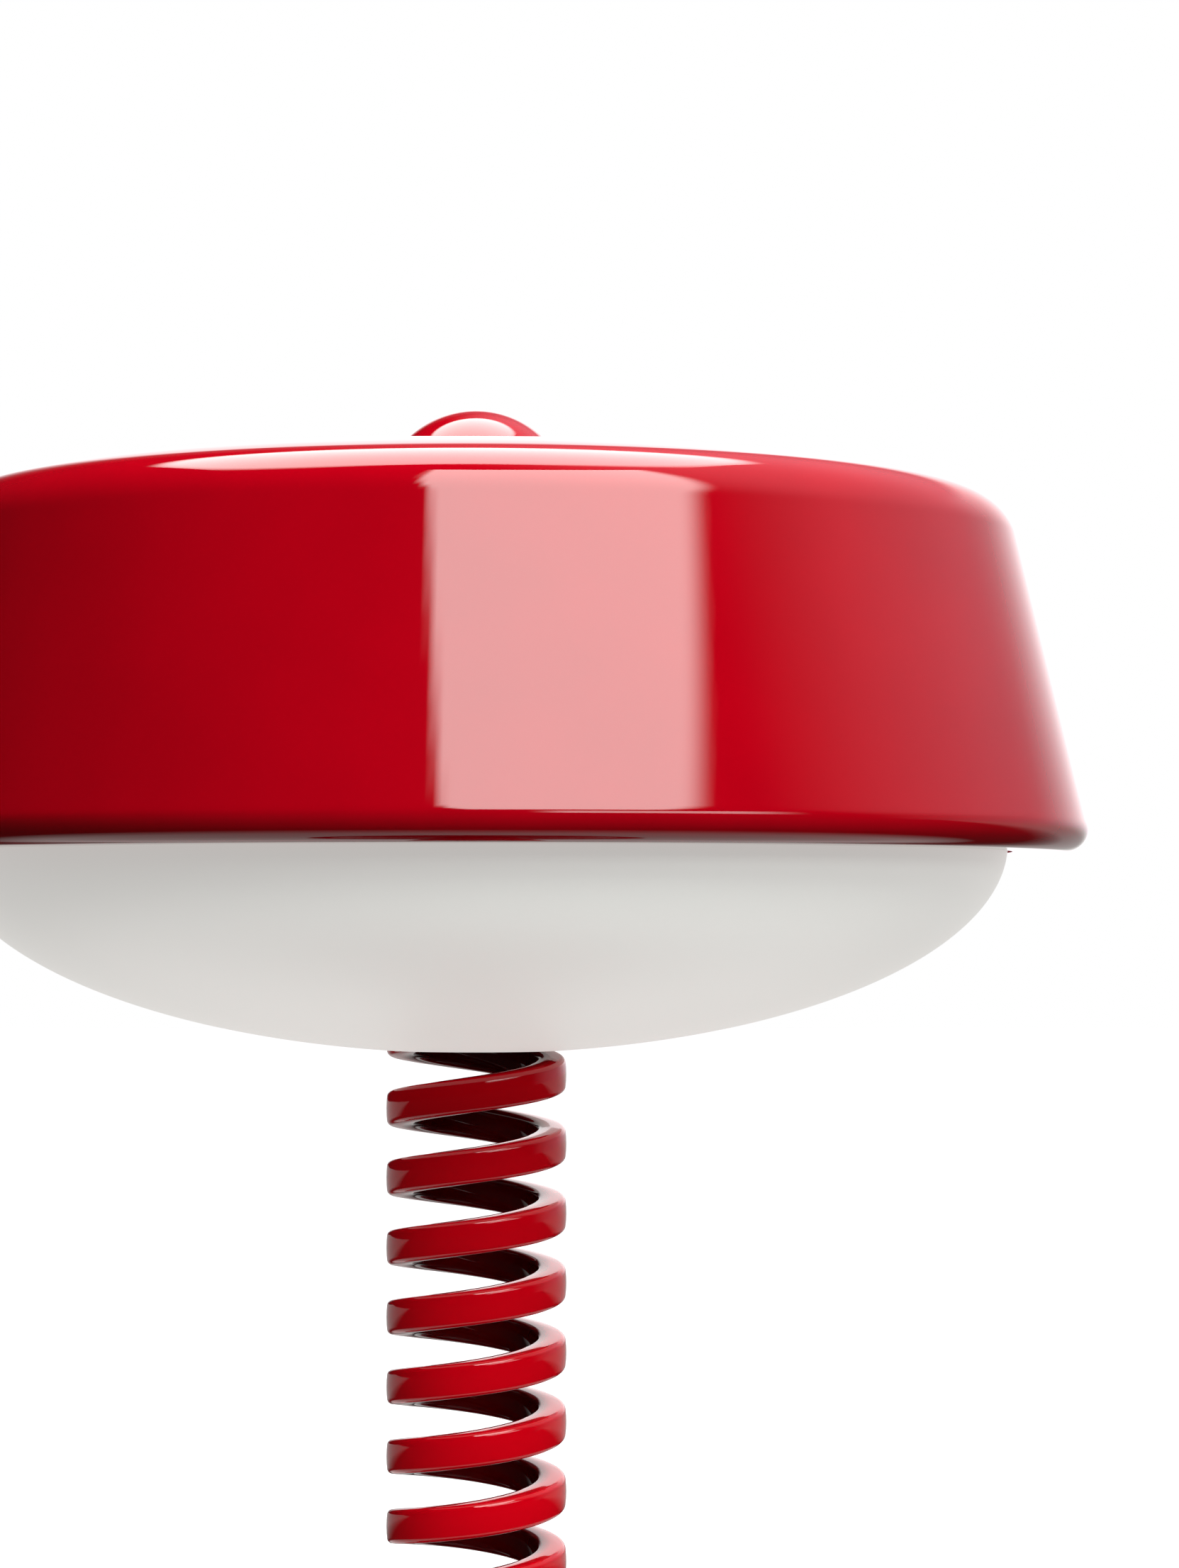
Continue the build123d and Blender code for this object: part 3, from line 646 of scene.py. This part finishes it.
def make_floor():
    """Pale floor that the camera sees turn white away from the lamp, so that it has no horizon. In
    reflections, and as light, it is white under the lamp and far behind it, and dark elsewhere."""
    half = 8.0
    corners = [(-half, -half, 0), (half, -half, 0), (half, half, 0), (-half, half, 0)]
    floor = staging("floor", corners, [(0, 1, 2, 3)])
    finish = Finish("floor", Roughness=0.9)
    finish.shader.inputs["Specular IOR Level"].default_value = 0.0
    grain = finish.noise(9, 3)
    finish.feed("Base Color", finish.ramp(grain, (0.26, 0.26, 0.26), (0.27, 0.27, 0.27)))
    away = finish.add("VectorMath", {"Vector": finish.place}, operation="LENGTH").outputs["Value"]
    finish.shader.inputs["Emission Color"].default_value = (1, 1, 1, 1)
    finish.feed("Emission Strength", finish.spread(away, 0.0, 1.0, *floor_whitens))
    beside = {0: finish.place, 1: table_centre}
    under = finish.add("VectorMath", beside, operation="DISTANCE").outputs["Value"]
    behind = finish.add("SeparateXYZ", {"Vector": finish.place}).outputs["Y"]
    near = finish.spread(under, 1.0, table_dark, *table_ends)
    far = finish.spread(behind, table_dark, 0.5, *table_resumes)
    table = finish.add("Math", {0: near, 1: far}, operation="MAXIMUM").outputs["Value"]
    bounce = finish.add("Emission", {"Strength": table, "Color": (1.0, 0.98, 0.96, 1)})
    ray = finish.add("LightPath").outputs["Is Camera Ray"]
    mix = finish.add("MixShader", {0: ray, 1: bounce.outputs[0], 2: finish.shader.outputs[0]})
    finish.surface(mix)
    floor.data.materials.append(finish.material)


def make_world():
    """Dark in reflections, with soft pale glows at the right and behind, and white to the camera."""
    world = bpy.data.worlds.new("studio")
    bpy.context.scene.world = world
    world.use_nodes = True
    nodes, links = world.node_tree.nodes, world.node_tree.links
    background = nodes["Background"]
    direction = nodes.new("ShaderNodeTexCoord").outputs["Generated"]

    def glow(azimuth, elevation, start, end, strength):
        """Lobe of light round a direction, between two cosines."""
        beside = nodes.new("ShaderNodeVectorMath")
        beside.operation = "DOT_PRODUCT"
        beside.inputs[1].default_value = toward(azimuth, elevation, 1.0) - head
        level = nodes.new("ShaderNodeMapRange")
        level.interpolation_type = "SMOOTHSTEP"
        limits = {"From Min": start, "From Max": end, "To Min": dark, "To Max": strength}
        for socket, value in limits.items():
            level.inputs[socket].default_value = value
        links.new(direction, beside.inputs[0])
        links.new(beside.outputs["Value"], level.inputs["Value"])
        return level.outputs["Result"]

    brighter = nodes.new("ShaderNodeMath")
    brighter.operation = "MAXIMUM"
    above = glow(azimuth=118, elevation=48, start=0.58, end=0.97, strength=1.0)
    below = glow(azimuth=140, elevation=4, start=0.4, end=0.95, strength=0.55)
    links.new(above, brighter.inputs[0])
    links.new(below, brighter.inputs[1])
    links.new(brighter.outputs["Value"], background.inputs["Strength"])
    background.inputs["Color"].default_value = (1, 0.82, 0.93, 1)
    seen = nodes.new("ShaderNodeBackground")
    seen.inputs["Color"].default_value = (1, 1, 1, 1)
    seen.inputs["Strength"].default_value = 1.0
    ray = nodes.new("ShaderNodeLightPath")
    mix = nodes.new("ShaderNodeMixShader")
    links.new(ray.outputs["Is Camera Ray"], mix.inputs["Fac"])
    links.new(background.outputs[0], mix.inputs[1])
    links.new(seen.outputs[0], mix.inputs[2])
    links.new(mix.outputs[0], nodes["World Output"].inputs["Surface"])


def key_place(across, up):
    return toward(between(key_across, across), between(key_up, up), key_distance)


def key_glow(across, up):
    """Even, wider towards the top, with a crisp left edge and a softer right edge."""
    left = 0.026 + 0.16 * (1 - up) ** 3
    right = 0.925 - 0.3 * (1 - up) ** 3
    crisp, soft = 0.015, 0.05
    sides = smooth(across, left - crisp, left + crisp) * (1 - smooth(across, right - soft, right + soft))
    return key_strength * (0.88 + 0.16 * up) * sides


def overhead_place(across, up):
    return head + Vector((between(overhead_x, across), between(overhead_y, up), overhead_height))


def overhead_glow(across, up):
    """Even inside a rounded outline."""
    roundness = 2.6
    edge = abs(2 * across - 1) ** roundness + abs(2 * up - 1) ** roundness
    return overhead_strength * (1 - smooth(edge, 0.75, 1.25))


def back_place(across, up):
    return toward(between(back_across, across), between(back_up, up), back_distance)


def back_glow(across, up):
    """Bright low down, fading out towards its top and its sides."""
    sides = smooth(across, 0.0, 0.4) * (1 - smooth(across, 0.53, 0.68))
    height = smooth(up, 0.0, 0.3) * (1 - smooth(up, 0.8, 0.95))
    return back_strength * sides * height


def fill_place(across, up):
    return toward(between(fill_across, across), between(fill_up, up), fill_distance)


def fill_glow(across, up):
    """Even, with soft edges."""
    sides = smooth(across, 0.0, 0.15) * (1 - smooth(across, 0.7, 1.0))
    height = smooth(up, 0.0, 0.2) * (1 - smooth(up, 0.8, 1.0))
    return fill_strength * sides * height


def make_lights():
    """A tall panel at the front right, a low one under it, a soft one overhead and a pale backdrop."""
    panel("key", key_place, key_glow)
    panel("fill", fill_place, fill_glow)
    panel("overhead", overhead_place, overhead_glow)
    panel("back", back_place, back_glow)


def make_camera():
    """Level camera in front of the lamp, just under the shade's height."""
    camera = bpy.data.objects.new("camera", bpy.data.cameras.new("camera"))
    bpy.context.scene.collection.objects.link(camera)
    camera.location = camera_place
    camera.rotation_euler = (radians(90), 0, 0)
    camera.data.sensor_width = 36.0
    camera.data.lens = camera_lens
    camera.data.shift_y = camera_shift
    camera.data.clip_start = 0.01
    bpy.context.scene.camera = camera


make_floor()
make_world()
make_camera()
make_lights()
bpy.context.scene.view_settings.view_transform = "Standard"

boxes = {"cad": cad_box, "visual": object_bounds()}
{key: [list(corner) for corner in box] for key, box in boxes.items()}
